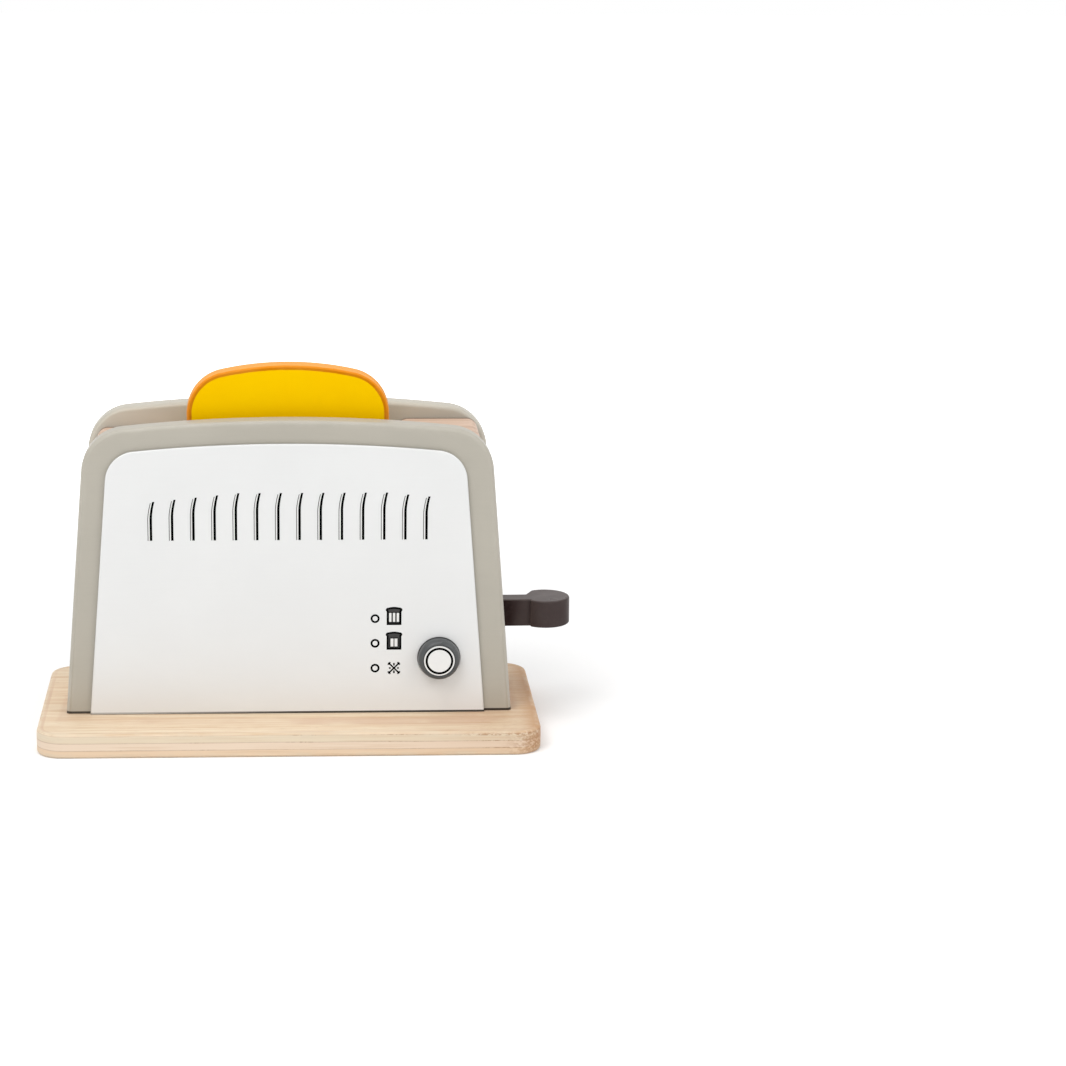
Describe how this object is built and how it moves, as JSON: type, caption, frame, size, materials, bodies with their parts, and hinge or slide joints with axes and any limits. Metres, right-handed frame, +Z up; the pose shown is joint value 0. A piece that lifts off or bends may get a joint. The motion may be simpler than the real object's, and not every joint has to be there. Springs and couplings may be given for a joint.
{
  "type": "toy toaster",
  "caption": "Wooden toy toaster on a ply base, with a tilting lever that lifts a sliding toast carriage, a spring-return push button and a removable play slice.",
  "frame": {"origin": "middle of the base board's underside", "axes": "+X towards the lever side, +Y towards the back, +Z up"},
  "size_m": [0.2044, 0.092, 0.1421],
  "materials": {
    "base_ply": "clear matt lacquer",
    "grey_paint": "warm grey satin paint",
    "white_lacquer": "white satin lacquer",
    "pale_wood": "bare sanded wood",
    "lever_ply": "bare ply",
    "charcoal_paint": "charcoal satin paint",
    "toast_yellow": "yellow face paint with an orange crust edge",
    "zinc_steel": "zinc plated",
    "spring_steel": "drawn wire",
    "magnet_nickel": "nickel plated",
    "grey_felt": "felt",
    "dark_plastic": "moulded",
    "pale_plastic": "moulded",
    "button_grey": "dark grey satin paint",
    "button_white": "printed disc"
  },
  "bodies": {
    "housing": {"base_board": "base_ply", "front_board": "grey_paint", "back_board": "grey_paint", "front_panel": "white_lacquer", "left_top_block": "pale_wood", "right_top_block": "pale_wood", "left_end_wall": "pale_wood", "right_end_wall": "pale_wood", "slot_divider": "pale_wood", "base_screws": "zinc_steel", "cross_dowels": "pale_wood", "guide_rods": "zinc_steel", "stop_pads": "grey_felt", "pivot_pin": "zinc_steel", "pivot_sleeves": "dark_plastic", "front_lift_spring": "spring_steel", "back_lift_spring": "spring_steel", "button_spring": "spring_steel"},
    "lever": {"lever_arm": "lever_ply", "lever_handle": "charcoal_paint", "handle_screws": "zinc_steel", "lift_pin": "zinc_steel"},
    "carriage": {"carriage_block": "pale_plastic", "front_tray": "lever_ply", "back_tray": "lever_ply", "tray_screws": "zinc_steel", "carriage_magnet": "magnet_nickel"},
    "button": {"button_knob": "button_grey", "button_face": "button_white", "magnet_holder": "dark_plastic", "holder_magnet": "magnet_nickel", "holder_screw": "zinc_steel"},
    "toast": {"toast_slice": "toast_yellow"}
  },
  "joints": [
    {"name": "lever_tilt", "type": "hinge", "parent": "housing", "child": "lever", "pos_m": [-0.024, 0.00625, 0.0565], "axis": [0, -1, 0], "range_deg": [0, 14]},
    {"name": "carriage_rise", "type": "slide", "parent": "housing", "child": "carriage", "axis": [0, 0, 1], "range_m": [0, 0.021], "deforming": ["front_lift_spring", "back_lift_spring"]},
    {"name": "toast_lift_out", "type": "slide", "parent": "carriage", "child": "toast", "axis": [0, 0, 1], "range_m": [0, 0.06]},
    {"name": "button_push", "type": "slide", "parent": "housing", "child": "button", "axis": [0, 1, 0], "range_m": [0, 0.003], "stiffness_N_per_m": 300, "springref_m": -0.003, "deforming": ["button_spring"]}
  ],
  "couplings": [
    {"joint": "carriage_rise", "follows": "lever_tilt", "m_per_rad": 0.085717}
  ]
}
